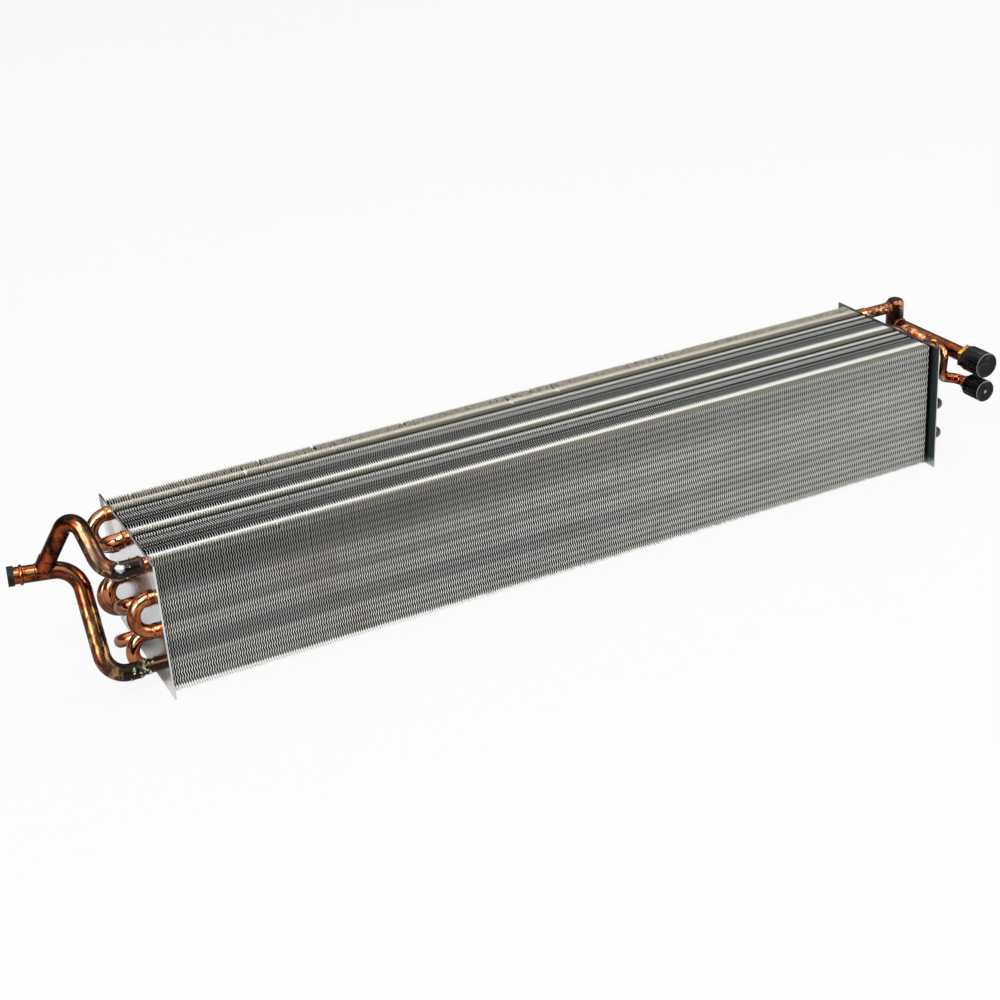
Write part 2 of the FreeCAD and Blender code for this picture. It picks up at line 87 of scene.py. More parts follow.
@dataclass(frozen=True)
class Layout:
    """Sizes in millimetres that pieces and finishes share.

    The tubes stand in rows counted from the front and levels counted from the bottom; front,
    back and height are the fins'.
    """

    rows: int = 5
    levels: int = 4
    row_pitch: float = 22.0
    level_pitch: float = 25.4
    first_row: float = -44.5
    high: float = 19.05
    low: float = 6.35
    tube_radius: float = 4.76
    front: float = -55.5
    back: float = 54.5
    height: float = 101.6
    fin_pitch: float = 25.4 / 14
    ripple_period: float = 5.27

    def spot(self, row: int, level: int, x: float) -> Vector:
        """The point on a tube's axis at x, from millimetres."""
        lowest = self.low if row % 2 else self.high
        return metres(x, self.first_row + row * self.row_pitch, lowest + level * self.level_pitch)

    def places(self) -> list[tuple[int, int]]:
        """Every tube's row and level."""
        return [(row, level) for row in range(self.rows) for level in range(self.levels)]


LAYOUT = Layout()


# Shader maths


class Value:
    """A number that varies over a surface. Python's operators on it add Math nodes."""

    def __init__(self, graph: "Graph", socket: bpy.types.NodeSocket) -> None:
        """Keeps the graph and the socket that the number comes out of."""
        self.graph = graph
        self.socket = socket

    def math(
        self, operation: str, first: Number, second: Number = 0.0, clamp: bool = False
    ) -> "Value":
        """Adds one Math node.

        Args:
            operation: the node's operation.
            first: its first number or value.
            second: its second number or value.
            clamp: whether the result is kept between 0 and 1.

        Returns:
            The node's result.
        """
        settings = {"operation": operation, "use_clamp": clamp}
        return self.graph.node("ShaderNodeMath", settings, {0: first, 1: second})

    def __add__(self, other: Number) -> "Value":
        """The sum."""
        return self.math("ADD", self, other)

    def __sub__(self, other: Number) -> "Value":
        """The difference."""
        return self.math("SUBTRACT", self, other)

    def __rsub__(self, other: Number) -> "Value":
        """The difference, the other way round."""
        return self.math("SUBTRACT", other, self)

    def __mul__(self, other: Number) -> "Value":
        """The product."""
        return self.math("MULTIPLY", self, other)

    def __truediv__(self, other: Number) -> "Value":
        """The quotient."""
        return self.math("DIVIDE", self, other)

    __radd__ = __add__
    __rmul__ = __mul__

    def least(self, other: Number) -> "Value":
        """The smaller of two numbers."""
        return self.math("MINIMUM", self, other)

    def size(self) -> "Value":
        """The number without its sign."""
        return self.math("ABSOLUTE", self)

    def sine(self) -> "Value":
        """The sine of an angle in radians."""
        return self.math("SINE", self)

    def fraction(self) -> "Value":
        """What is left above the next whole number below."""
        return self.math("FRACT", self)

    def clamped(self) -> "Value":
        """The number kept between 0 and 1."""
        return self.math("ADD", self, 0.0, clamp=True)

    def rise(self, low: float, high: float) -> "Value":
        """A smooth step.

        Args:
            low: where the result is 0.
            high: where the result is 1; it may be below low.

        Returns:
            The step, from 0 to 1.
        """
        flip = low > high
        settings = {"interpolation_type": "SMOOTHSTEP"}
        inputs = {"Value": self, "From Min": min(low, high), "From Max": max(low, high)}
        step = self.graph.node("ShaderNodeMapRange", settings, inputs)
        return 1 - step if flip else step


class Tint(Value):
    """A colour or vector that varies over a surface; it is mixed, never put through a Math node."""


class Graph:
    """The nodes of a material or a world."""

    def __init__(self, owner: "bpy.types.Material | bpy.types.World", place: str) -> None:
        """Turns nodes on and finds the coordinates.

        Args:
            owner: the material or world.
            place: the output of Texture Coordinate that patterns follow.
        """
        owner.use_nodes = True
        self.tree = owner.node_tree
        self.spot = self.node("ShaderNodeTexCoord", out=place)
        split = self.node("ShaderNodeSeparateXYZ", inputs={0: self.spot}).socket.node
        self.x, self.y, self.z = (Value(self, socket) for socket in split.outputs)

    def node(
        self,
        kind: str,
        settings: dict | None = None,
        inputs: dict | None = None,
        out: int | str = 0,
    ) -> Value:
        """Adds any node: its type, then its settings, then its sockets.

        Args:
            kind: the node's type.
            settings: attributes of the node, set before its sockets.
            inputs: numbers, colours or values by socket name or number.
            out: the name or number of the output that is wanted.

        Returns:
            The wanted output.
        """
        made = self.tree.nodes.new(kind)
        for attribute, setting in (settings or {}).items():
            setattr(made, attribute, setting)
        for key, given in (inputs or {}).items():
            if isinstance(given, Value):
                self.tree.links.new(given.socket, made.inputs[key])
            else:
                made.inputs[key].default_value = given
        socket = made.outputs[out]
        return Value(self, socket) if socket.type == "VALUE" else Tint(self, socket)

    def stretched(self, stretch: Point, shift: float) -> Value:
        """The object's coordinates, stretched along the axes and shifted.

        Args:
            stretch: how many times finer the pattern is along X, Y and Z.
            shift: how far the pattern is moved, in metres.

        Returns:
            The new coordinates.
        """
        moved = self.node(
            "ShaderNodeVectorMath", {"operation": "ADD"}, {0: self.spot, 1: (shift,) * 3}
        )
        return self.node("ShaderNodeVectorMath", {"operation": "MULTIPLY"}, {0: moved, 1: stretch})

    def noise(
        self,
        grain: float,
        detail: float = 3.0,
        stretch: Point = (1, 1, 1),
        shift: float = 0.0,
        warp: float = 0.0,
    ) -> Value:
        """Cloudy noise from 0 to 1.

        Args:
            grain: the size of its clouds, in metres.
            detail: how many finer layers it has.
            stretch: how many times finer it is along each axis.
            shift: moves the pattern, in metres.
            warp: how much the clouds are twisted.

        Returns:
            The noise.
        """
        inputs = {"Vector": self.stretched(stretch, shift), "Scale": 1 / grain}
        inputs |= {"Detail": detail, "Roughness": 0.55, "Distortion": warp}
        return self.node("ShaderNodeTexNoise", None, inputs, "Fac")

    def cells(self, grain: float, stretch: Point) -> Value:
        """A pattern of cells with one chance colour each.

        Args:
            grain: the cells' size, in metres.
            stretch: how many times finer it is along each axis.

        Returns:
            The cells' colours.
        """
        inputs = {"Vector": self.stretched(stretch, 0.0), "Scale": 1 / grain}
        return self.node("ShaderNodeTexVoronoi", None, inputs, "Color")

    def away(self, point: Point) -> Value:
        """The distance from a point, in metres."""
        inputs = {0: self.spot, 1: point}
        return self.node("ShaderNodeVectorMath", {"operation": "DISTANCE"}, inputs, "Value")

    def along(self, direction: Value, side: Vector) -> Value:
        """How much a unit vector points to a side, from -1 to 1."""
        inputs = {0: direction, 1: side}
        return self.node("ShaderNodeVectorMath", {"operation": "DOT_PRODUCT"}, inputs, "Value")

    def mix(self, share: Number, first: "Colour | Tint", second: "Colour | Tint") -> Tint:
        """One colour over another.

        Args:
            share: how much of the second colour shows.
            first: the colour at share 0.
            second: the colour at share 1.

        Returns:
            The mixed colour.
        """
        settings = {"data_type": "RGBA", "clamp_factor": True}
        return self.node("ShaderNodeMix", settings, {0: share, 6: first, 7: second}, 2)


class Skin(Graph):
    """The nodes of one material, which follow the object's own coordinates."""

    def __init__(self, name: str) -> None:
        """Makes the material and finds its shader.

        Args:
            name: the material's name.
        """
        self.material = bpy.data.materials.new(name)
        super().__init__(self.material, "Object")
        self.shader = self.tree.nodes["Principled BSDF"]

    def facing(self, side: Vector) -> Value:
        """How much the surface is turned to a side of the object, from -1 to 1."""
        return self.along(self.node("ShaderNodeNewGeometry", out="Normal"), side)

    def bump(self, height: Value, depth: float) -> None:
        """Raises the surface where height is 1.

        Args:
            height: the pattern.
            depth: how high a height of 1 stands, in metres.
        """
        inputs = {"Height": height, "Distance": depth}
        self.paint(Normal=self.node("ShaderNodeBump", None, inputs, "Normal"))

    def paint(self, **sockets: "Number | Colour") -> None:
        """Sets or links the shader's sockets.

        Args:
            sockets: numbers, colours or values by socket name, with _ for a space.
        """
        for name, given in sockets.items():
            socket = self.shader.inputs[name.replace("_", " ")]
            if isinstance(given, Value):
                self.tree.links.new(given.socket, socket)
            else:
                socket.default_value = given


# Finishes


@dataclass(frozen=True)
class Finish(ABC):
    """A finish of the coil, which lays its own nodes in a new material."""

    name: str

    @abstractmethod
    def lay(self, graph: Skin) -> None:
        """Lays the finish's nodes, once a material is there for them."""

    def make(self) -> bpy.types.Material:
        """Builds the material.

        Returns:
            The finished material.
        """
        graph = Skin(self.name)
        self.lay(graph)
        return graph.material


@dataclass(frozen=True)
class MarkLook:
    """How a mark changes copper: its colour, how much rougher and how much less metallic."""

    colour: Colour
    rough: float = 0.08
    dull: float = 0.0
    flecked: bool = False


class StainAndLight(Enum):
    """What a joint's heat or flux leaves on copper, and painted highlights and painted shade."""

    # burnt copper near joints; on the hairpin tips at the right, a painted dark reflection
    BURNT_AND_DARK_REFLECTION = MarkLook(srgb(30, 19, 15), dull=0.25)
    FLUX = MarkLook(srgb(216, 212, 190), rough=0.3, dull=0.85)
    GOLDEN = MarkLook(srgb(226, 176, 108), flecked=True)
    # painted highlight, broken into flecks
    PALE_HIGHLIGHT = MarkLook(srgb(246, 188, 146), flecked=True)
    # painted highlight: a small white reflection
    WHITE_HIGHLIGHT = MarkLook(srgb(240, 244, 248))
    # grey-brown smoke on copper; on the left plate, painted shade and a painted dark reflection
    SMOKE = MarkLook(srgb(74, 60, 50))


@dataclass(frozen=True)
class Zone:
    """A marked place: its middle and how far it reaches, in millimetres, and what it is."""

    spot: Point
    reach: float
    stain: StainAndLight
    strength: float = 1.0


def stains_and_light(graph: Graph, zones: tuple[Zone, ...], colour: Tint) -> tuple[Tint, Value, Value]:
    """Lays stains, painted highlights and painted shade over a colour.

    Args:
        graph: the material's nodes.
        zones: the marked places.
        colour: the colour beneath.

    Returns:
        The marked colour, how much rougher it is and how much less metallic.
    """
    ragged = graph.noise(3.2 * MM, 4, shift=1.1, warp=0.5)
    flecks = graph.noise(4.5 * MM, 4, stretch=(1.0, 0.45, 0.45), shift=2.3, warp=0.4)
    rough, dull = ragged * 0.0, ragged * 0.0
    for zone in zones:
        ball = graph.away(metres(*zone.spot)) / (zone.reach * MM)
        share = (ball + (ragged - 0.5) * 0.9).rise(1.1, 0.62) * zone.strength
        residue = zone.stain.value
        if residue.flecked:
            share = share * flecks.rise(0.47, 0.58)
        colour = graph.mix(share, colour, residue.colour)
        rough = rough + share * residue.rough
        if residue.dull:
            dull = dull + share * residue.dull
    return colour, rough, dull


@dataclass(frozen=True)
class Copper(Finish):
    """Copper tube: bright skin, clouds of brown oxide, solder stains, and painted light and shade.

    A painted highlight runs in a streak along the side turned one set way, and painted shade
    darkens the sides turned away from it: one strength sets the streak, one how much they darken.
    """

    bright: Colour = srgb(196, 106, 60)
    brown: Colour = srgb(98, 42, 20)
    dark: Colour = srgb(30, 13, 9)
    # the colour of the painted highlight streak
    painted_highlight: Colour = srgb(246, 176, 122)
    tarnish: float = 0.5
    soot: float = 0.2
    gloss: float = 0.13
    crinkle: float = 0.1 * MM
    crinkle_size: float = 7.0 * MM
    cloud_size: float = 20.0 * MM
    streak_size: float = 5.0 * MM
    soot_size: float = 9.0 * MM
    streaks: float = 0.5
    # strengths of the painted shade and painted highlight, and the way the highlighted side faces
    shade_strength: float = 0.62
    highlight_strength: float = 0.45
    lit_side: Point = (-0.22, -0.78, 0.58)
    zones: tuple[Zone, ...] = ()

    def lay(self, graph: Skin) -> None:
        """Lays the nodes.

        Args:
            graph: the new material's nodes.
        """
        facing = graph.facing(Vector(self.lit_side).normalized())
        clouds = graph.noise(self.cloud_size, 4, warp=0.5)
        streaks = graph.noise(self.streak_size, 4, stretch=(1.0, 0.3, 0.3), shift=0.3, warp=0.3)
        mottle = clouds * (1 - self.streaks) + streaks * self.streaks
        film = mottle.rise(0.6 - 0.36 * self.tarnish, 0.74 - 0.16 * self.tarnish)
        colour = graph.mix(film, self.bright, self.brown)
        soot = graph.noise(self.soot_size, 5, shift=0.7, warp=0.6)
        soot = (soot + self.soot * 0.3).rise(0.56, 0.8)
        colour = graph.mix(soot * min(1.0, self.soot * 2.0), colour, self.dark)
        # painted shade on the sides turned away from that side, and a painted highlight streak on
        # it
        painted_shade = (facing + (streaks - 0.5) * 0.6).rise(0.84, 0.24)
        colour = graph.mix(painted_shade * self.shade_strength, colour, self.dark)
        painted_highlight = (facing + (streaks - 0.5) * 0.35).rise(0.9, 1.0)
        colour = graph.mix(painted_highlight * self.highlight_strength, colour, self.painted_highlight)
        colour, rougher, duller = stains_and_light(graph, self.zones, colour)
        rough = film * 0.05 + soot * 0.12 + (self.gloss - 0.02) + rougher
        metal = 1 - soot * 0.1 - duller
        height = graph.noise(self.crinkle_size, 3, shift=0.9, warp=0.8)
        graph.bump(height, self.crinkle)
        graph.paint(Base_Color=colour, Metallic=metal.clamped(), Roughness=rough.clamped())


@dataclass(frozen=True)
class Band:
    """A stripe of painted light and shade along the pack's upper side, by its place between two
    upper tube rows.

    start and end are shares of the way from one upper row to the next, light is the colour that
    the sheets show there, and fill is how much of the gap between two sheets it covers.
    """

    start: float
    end: float
    light: Colour
    fill: float


@dataclass(frozen=True)
class Shade:
    """A duller stripe along the front: its height, half its width and its strength."""

    height: float
    reach: float
    strength: float


@dataclass(frozen=True)
class FinSheet(Finish):
    """Thin aluminium sheet: bright along its cut edges, with black painted shade down in the gaps.

    shades holds the duller stripes along the front, which fade towards the right, and bands the
    stripes of painted light and shade along the upper side. band_blur is how softly a band ends,
    as a share of the way between two upper rows. rear holds the depths between which the pale
    strip along the upper back edge comes in.
    """

    edge: Colour = srgb(252, 252, 249)
    # painted shade in the gaps, in turn: on the ripple half that faces down, on the half that faces
    # up, on that half towards the right, and where no light comes back out
    middle: Colour = srgb(22, 23, 23)
    leaning: Colour = srgb(78, 80, 78)
    gap_lit_right: Colour = srgb(142, 144, 140)
    deep: Colour = srgb(8, 9, 9)
    warm: Colour = srgb(196, 186, 156)
    cool: Colour = srgb(150, 156, 154)
    olive: Colour = srgb(150, 148, 126)
    pale_mark: Colour = srgb(216, 210, 192)
    grain_size: float = 1.2 * MM
    grain_depth: float = 0.05 * MM
    blotch_size: float = 45.0 * MM
    low_patch_size: float = 12.0 * MM
    wander_size: float = 20.0 * MM
    # how far either side of the middle the change from left to right reaches
    right_fade_reach: float = 260.0 * MM
    band_blur: float = 0.006
    rear: tuple[float, float] = (38.8 * MM, 40.4 * MM)
    shades: tuple[Shade, ...] = (
        Shade(33.5 * MM, 10.0 * MM, 0.55),
        Shade(56.5 * MM, 6.0 * MM, 0.4),
        Shade(86.0 * MM, 19.0 * MM, 0.65),
    )
    # painted light and shade of the corrugation's slopes and the collars' tops on the upper side
    bands: tuple[Band, ...] = (
        Band(-0.03, 0.05, srgb(250, 250, 247), 0.95),
        Band(0.065, 0.205, srgb(168, 170, 166), 0.0),
        Band(0.205, 0.255, srgb(44, 45, 42), 0.0),
        Band(0.262, 0.29, srgb(236, 237, 234), 0.9),
        Band(0.295, 0.385, srgb(56, 57, 54), 0.0),
        Band(0.392, 0.42, srgb(220, 222, 220), 0.8),
        Band(0.42, 0.495, srgb(236, 236, 232), 0.2),
        Band(0.505, 0.59, srgb(40, 41, 38), 0.0),
        Band(0.6, 0.66, srgb(255, 255, 252), 1.0),
        Band(0.675, 0.745, srgb(12, 11, 10), 0.0),
        Band(0.75, 0.8, srgb(164, 156, 130), 0.5),
        Band(0.8, 0.895, srgb(184, 177, 152), 0.45),
        Band(0.903, 1.03, srgb(252, 252, 250), 1.0),
    )

    def lay(self, graph: Skin) -> None:
        """Lays the nodes.

        Args:
            graph: the new material's nodes.
        """
        aside = (graph.y - LAYOUT.front * MM).least(LAYOUT.back * MM - graph.y)
        above = LAYOUT.height * MM - graph.z
        fine = graph.noise(self.grain_size, 3, stretch=(1.0, 0.3, 0.3), shift=0.5)
        blotch = graph.noise(self.blotch_size, 4, stretch=(1.0, 1.0, 2.5))
        edge, gap = self.sides(graph, aside, above, fine, blotch)
        # 1 along the upper side, 0 on the front and the back
        upper = above.rise(0.0035, 0.002) * (aside * 0.6 - above).rise(-0.0004, 0.0004)
        edge, gap = self.crown(graph, upper, fine, edge, gap)
        # 0 on the cut edges, 1 down in the gaps, where the shade is painted
        uneven = (fine - 0.5) * 0.0004
        sunk = (aside + uneven).rise(0.0002, 0.0006) * (above + uneven).rise(0.0002, 0.0005)
        sunk = sunk * graph.z.rise(0.0005, 0.0014)
        graph.bump(fine, self.grain_depth)
        rough = sunk * 0.2 + blotch * 0.12 + 0.26
        colour = graph.mix(sunk, edge, gap)
        graph.paint(Base_Color=colour, Metallic=0.25, Roughness=rough)

    def sides(
        self, graph: Skin, aside: Value, above: Value, fine: Value, blotch: Value
    ) -> tuple[Tint, Tint]:
        """Finds the colours along the front and the back, with the painted shade in the gaps.

        Args:
            graph: the material's nodes.
            aside: the depth behind the nearer of the front and the back.
            above: the depth below the upper edge.
            fine: the fine grain.
            blotch: the wide blotches.

        Returns:
            The colour of the cut edges and the colour in the gaps.
        """
        # 0 at the left, 1 at the right: the front's stripes fade, the gaps' painted shade lightens
        along = graph.x.rise(-self.right_fade_reach, self.right_fade_reach)
        dull = 1.15 - along * 0.85
        edge = graph.mix(blotch.rise(0.5, 0.7) * dull * 0.4, self.edge, self.warm)
        for shade in self.shades:
            stripe = ((graph.z - shade.height) / shade.reach).size().rise(1.0, 0.3)
            edge = graph.mix(stripe * dull * shade.strength, edge, self.cool)
        edge = graph.mix(fine.rise(0.6, 0.8) * dull * 0.35, edge, self.cool)
        # 1 on the half of each ripple that leans towards +X, whose side faces up; that half is
        # painted lighter and the other half is painted in shade
        lean = (graph.z / (LAYOUT.ripple_period * MM)).fraction().rise(0.44, 0.56)
        edge = graph.mix((1 - lean) * 0.2, edge, self.cool)
        edge = graph.mix(above.rise(0.026, 0.012) * dull * 0.4, edge, self.olive)
        # paler, warmer patches along the lower edge, on the edges and in the gaps
        low_patches = graph.noise(self.low_patch_size, 3, shift=2.0).rise(0.35, 0.6)
        low_patches = low_patches * graph.z.rise(0.006, 0.001)
        edge = graph.mix((low_patches * 0.6).clamped(), edge, self.warm)
        # 1 where no light comes back out of the gap
        lost = aside.rise(0.0006, 0.0022) * above.rise(0.0004, 0.001) * graph.z.rise(0.001, 0.003)
        leaning = graph.mix(along, self.leaning, self.gap_lit_right)
        gap = graph.mix(lost, graph.mix(lean, self.middle, leaning), self.deep)
        return edge, graph.mix(low_patches, gap, self.warm)

    def crown(
        self, graph: Skin, upper: Value, fine: Value, edge: Tint, gap: Tint
    ) -> tuple[Tint, Tint]:
        """Lays the upper side's painted light and shade over the colours of the front and the back.

        Args:
            graph: the material's nodes.
            upper: where the upper side is.
            fine: the fine grain.
            edge: the colour of the cut edges so far.
            gap: the colour in the gaps so far.

        Returns:
            Both colours with the stripes.
        """
        # the upper side: white cut edges, gaps painted in shade, then the painted bands
        edge = graph.mix(upper, edge, self.edge)
        gap = graph.mix(upper * 0.8, gap, self.deep)
        rows_apart = 2 * LAYOUT.row_pitch * MM
        phase = ((graph.y - LAYOUT.first_row * MM) / rows_apart).fraction()
        wander = graph.noise(self.wander_size, 3, stretch=(1, 0.2, 0.2), shift=4.0)
        wander = phase + (wander - 0.5) * 0.016
        for band in self.bands:
            inside = wander.rise(band.start - self.band_blur, band.start + self.band_blur)
            inside = inside * wander.rise(band.end + self.band_blur, band.end - self.band_blur)
            inside = inside * upper
            edge = graph.mix(inside, edge, band.light)
            gap = graph.mix(inside * band.fill, gap, band.light)
        # a pale strip along the upper back edge
        rear = graph.y.rise(*self.rear) * upper
        edge = graph.mix(rear, edge, self.pale_mark)
        return edge, graph.mix(rear * fine.rise(0.4, 0.5) * 0.75, gap, self.pale_mark)


@dataclass(frozen=True)
class Collar(Finish):
    """The fins' drawn collars round the tubes, seen between the sheets, with painted light on their
    tops and painted shade down their sides.
    """

    light: Colour = srgb(250, 250, 247)
    olive: Colour = srgb(132, 126, 102)
    seam_shadow: Colour = srgb(70, 70, 64)
    cloud_size: float = 20.0 * MM
    speck_size: float = 4.0 * MM
    seam_depth: float = 0.1 * MM

    def lay(self, graph: Skin) -> None:
        """Lays the nodes.

        Args:
            graph: the new material's nodes.
        """
        across = (graph.y - LAYOUT.front * MM) / (LAYOUT.row_pitch * MM)
        cloud = graph.noise(self.cloud_size, 3, stretch=(0.3, 1, 1)) - 0.5
        # painted light on the collars' tops and painted shade, olive, down their sides
        shade = (across.fraction() - 0.5 + cloud * 0.05).size().rise(0.125, 0.165)
        colour = graph.mix(shade * 0.9, self.light, self.olive)
        # a dark line at every fin, painted shadow at the seams, only on the shaded sides
        line = ((graph.x / (LAYOUT.fin_pitch * MM)).fraction() - 0.5).size().rise(0.42, 0.5)
        colour = graph.mix(line * shade, colour, self.seam_shadow)
        graph.bump(1 - line, self.seam_depth)
        rough = graph.noise(self.speck_size) * 0.1 + 0.38
        graph.paint(Base_Color=colour, Metallic=0.3, Roughness=rough)


@dataclass(frozen=True)
class SheetMetal(Finish):
    """Bright end-plate sheet with faint spangles, rolling lines and smears.

    shadow is how much the face towards the fins darkens; side is 1 for the plate at +X and -1
    for the one at -X.
    """

    light: Colour = srgb(222, 226, 228)
    grey: Colour = srgb(140, 146, 150)
    dark: Colour = srgb(62, 82, 74)
    inner_face: float = 317.7 * MM
    spangle_size: float = 7.0 * MM
    roll_size: float = 4.0 * MM
    smear_size: float = 30.0 * MM
    wave_depth: float = 0.25 * MM
    side: int = 1
    shadow: float = 0.0
    zones: tuple[Zone, ...] = ()

    def lay(self, graph: Skin) -> None:
        """Lays the nodes.

        Args:
            graph: the new material's nodes.
        """
        spangle = graph.cells(self.spangle_size, (1, 1, 0.6))
        grain = graph.node("ShaderNodeSeparateColor", None, {0: spangle}).rise(0.2, 0.9)
        rolled = graph.noise(self.roll_size, 4, stretch=(1, 3.0, 0.12))
        smear = graph.noise(self.smear_size, 4, shift=0.4, warp=1.0)
        colour = graph.mix(grain * 0.12 + rolled.rise(0.5, 0.8) * 0.2, self.light, self.grey)
        colour = graph.mix(smear.rise(0.55, 0.7) * 0.5, colour, self.grey)
        colour, rougher, duller = stains_and_light(graph, self.zones, colour)
        inside = (graph.x * self.side - self.inner_face).rise(0.0009, 0.0003)
        inside = inside * graph.z.rise(0.003, 0.008) * self.shadow
        colour = graph.mix(inside * (0.8 + rolled * 0.3), colour, self.dark)
        graph.bump(rolled * 0.3 + smear, self.wave_depth)
        rough = 0.07 + smear * 0.1 + rolled * 0.05 + inside * 0.2 + rougher
        graph.paint(Base_Color=colour, Metallic=(1 - duller).clamped(), Roughness=rough)


@dataclass(frozen=True)
class Brass(Finish):
    """Machined brass with turning lines and a little tarnish."""

    bright: Colour = srgb(206, 156, 76)
    dull: Colour = srgb(92, 56, 22)
    line_pitch: float = 0.6 * MM
    line_depth: float = 0.04 * MM
    tarnish_size: float = 6.0 * MM

    def lay(self, graph: Skin) -> None:
        """Lays the nodes.

        Args:
            graph: the new material's nodes.
        """
        lines = (graph.y * (2 * math.pi / self.line_pitch)).sine() * 0.5 + 0.5
        tarnish = graph.noise(self.tarnish_size, 4, warp=0.5)
        colour = graph.mix(tarnish.rise(0.42, 0.68) * 0.8, self.bright, self.dull)
        graph.bump(lines, self.line_depth)
        rough = 0.16 + tarnish * 0.18
        graph.paint(Base_Color=colour, Metallic=1.0, Roughness=rough)


@dataclass(frozen=True)
class Plastic(Finish):
    """Moulded black plastic or rubber, pale in a line along the rims and scuffed on its ridges.

    rims holds the middle and the radius of each round end face; dimple is the middle of the
    small dimple in one of them.
    """

    black: Colour = srgb(6, 6, 7)
    scuff: Colour = srgb(66, 67, 70)
    pale_mark: Colour = srgb(186, 186, 184)
    gloss: float = 0.2
    grain_size: float = 0.6 * MM
    grain_depth: float = 0.03 * MM
    wear_size: float = 5.0 * MM
    rim_width: float = 0.6 * MM
    dimple_radius: float = 2.8 * MM
    rims: tuple[tuple[Vector, float], ...] = ()
    dimple: Point | None = None

    def lay(self, graph: Skin) -> None:
        """Lays the nodes.

        Args:
            graph: the new material's nodes.
        """
        grain = graph.noise(self.grain_size, 2)
        wear = graph.noise(self.wear_size, 5, stretch=(1, 0.25, 1), warp=0.4)
        colour = graph.mix(wear.rise(0.5, 0.72) * 0.5, self.black, self.scuff)
        # a pale line along the rim of each round end face, in patches
        for middle, radius in self.rims:
            away, inner = graph.away(middle), radius - self.rim_width
            rim = away.rise(inner, inner + 0.0002) * away.rise(radius, radius - 0.0001)
            rim = rim * (graph.y - middle.y).rise(self.rim_width, self.rim_width - 0.0002)
            colour = graph.mix(rim * wear.rise(0.3, 0.45) * 0.85, colour, self.pale_mark)
        # the small dimple is pale
        if self.dimple:
            sunk = (graph.y - self.dimple[1]).rise(0.0001, 0.0003)
            pale = graph.away(self.dimple).rise(self.dimple_radius, self.dimple_radius - 0.0004)
            colour = graph.mix(pale * sunk, colour, self.pale_mark)
        graph.bump(grain, self.grain_depth)
        rough = wear * 0.12 + grain * 0.04 + (self.gloss - 0.06)
        graph.paint(Base_Color=colour, Roughness=rough, Specular_IOR_Level=0.22)


@dataclass(frozen=True)
class Crust(Finish):
    """Solder, braze or flux residue: two colours in rough clouds."""

    light: Colour
    dark: Colour
    metal: float = 0.4
    rough: float = 0.5
    cloud_size: float = 2.6 * MM
    lump_size: float = 0.9 * MM
    lump_depth: float = 0.3 * MM

    def lay(self, graph: Skin) -> None:
        """Lays the nodes.

        Args:
            graph: the new material's nodes.
        """
        clouds = graph.noise(self.cloud_size, 5, warp=0.7)
        colour = graph.mix(clouds.rise(0.42, 0.62), self.light, self.dark)
        graph.bump(graph.noise(self.lump_size, 4), self.lump_depth)
        graph.paint(Base_Color=colour, Metallic=self.metal, Roughness=self.rough + clouds * 0.2)


@dataclass(frozen=True)
class Floor(Finish):
    """The pale floor, which shows nearly white to the camera and still takes the shadow.

    glow is the share of plain white that the camera sees in place of the lit floor.
    """

    name: str = "pale_floor"
    pale: Colour = srgb(204, 204, 204)
    paler: Colour = srgb(210, 210, 210)
    speck_size: float = 0.4
    glow: float = 0.9

    def lay(self, graph: Skin) -> None:
        """Lays the nodes.

        Args:
            graph: the new material's nodes.
        """
        colour = graph.mix(graph.noise(self.speck_size, 2), self.pale, self.paler)
        graph.paint(Base_Color=colour, Roughness=0.9)
        white = graph.node("ShaderNodeEmission", None, {"Color": (1, 1, 1, 1), "Strength": 1.0})
        eye = graph.node("ShaderNodeLightPath", None, None, "Is Camera Ray")
        inputs = {0: eye * self.glow, 1: Tint(graph, graph.shader.outputs[0]), 2: white}
        surface = graph.node("ShaderNodeMixShader", None, inputs)
        output = graph.tree.nodes["Material Output"]
        graph.tree.links.new(surface.socket, output.inputs["Surface"])


# Pieces


def finished(
    name: str, mesh: bmesh.types.BMesh, material: bpy.types.Material, smooth: bool = True
) -> bpy.types.Object:
    """Turns a bmesh into a piece of the coil.

    Args:
        name: the piece's name.
        mesh: its shape, in place; it is freed.
        material: its finish.
        smooth: whether its faces are shaded smooth.

    Returns:
        The piece, which rides on the coil's one body.
    """
    for face in mesh.faces:
        face.smooth = smooth
    data = bpy.data.meshes.new(name)
    mesh.to_mesh(data)
    mesh.free()
    data.materials.append(material)
    piece = bpy.data.objects.new(name, data)
    bpy.context.scene.collection.objects.link(piece)
    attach(piece, BODY)
    log.info("%s: %d faces", name, len(data.polygons))
    return piece


def dress(material: bpy.types.Material, *nodes: str) -> None:
    """Gives CAD nodes a finish.

    Args:
        material: the finish.
        nodes: the names of the nodes.
    """
    for node in nodes:
        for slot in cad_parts[node].material_slots:
            slot.material = material
        log.info("%s wears %s", node, material.name)


def turned(
    mesh: bmesh.types.BMesh,
    spot: Vector,
    axis: Vector,
    outline: list[tuple[float, float]],
    steps: int,
) -> list:
    """Spins a closed outline into a ring.

    Args:
        mesh: the bmesh that the ring is added to.
        spot: the point on the axis that the outline's lengths start from.
        axis: the unit vector that the lengths run along.
        outline: pairs of a length along the axis and a radius, in millimetres.
        steps: how many steps the turn has.

    Returns:
        The ring's vertices.
    """
    aside = axis.orthogonal().normalized()
    known = set(mesh.verts)
    verts = [
        mesh.verts.new(spot + axis * (along * MM) + aside * (radius * MM))
        for along, radius in outline
    ]
    edges = [mesh.edges.new((verts[i - 1], verts[i])) for i in range(len(verts))]
    bmesh.ops.spin(
        mesh, geom=verts + edges, cent=spot, axis=axis, angle=2 * math.pi, steps=steps,
        use_merge=True, use_duplicate=False,
    )
    return [vert for vert in mesh.verts if vert not in known]


